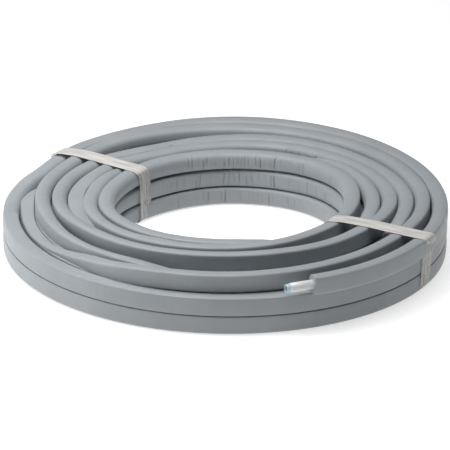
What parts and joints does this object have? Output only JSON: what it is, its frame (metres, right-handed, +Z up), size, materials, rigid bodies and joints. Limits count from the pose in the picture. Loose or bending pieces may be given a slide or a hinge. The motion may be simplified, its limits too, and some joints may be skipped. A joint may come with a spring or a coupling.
{
  "type": "coil of insulated multilayer pipe",
  "caption": "Flat coil of foam-insulated multilayer plastic pipe, held by film straps, with one bare pipe end.",
  "frame": {"origin": "on the floor, at the centre of the outer turns", "axes": "+Z up along the coil's axis; the loose pipe end is at the front, towards -Y, and points to -X"},
  "size_m": [0.9499, 0.95, 0.12],
  "materials": {
    "foam_insulation": "light grey closed-cell polyethylene foam with a thin smooth skin",
    "multilayer_pipe": "white polyethylene",
    "strap_film": "translucent milky plastic film, creased lengthwise"
  },
  "bodies": {
    "root": {"insulated_coil": "foam_insulation", "pipe_end": "multilayer_pipe", "strap_back_left": "strap_film", "strap_front_right": "strap_film"}
  },
  "joints": []
}
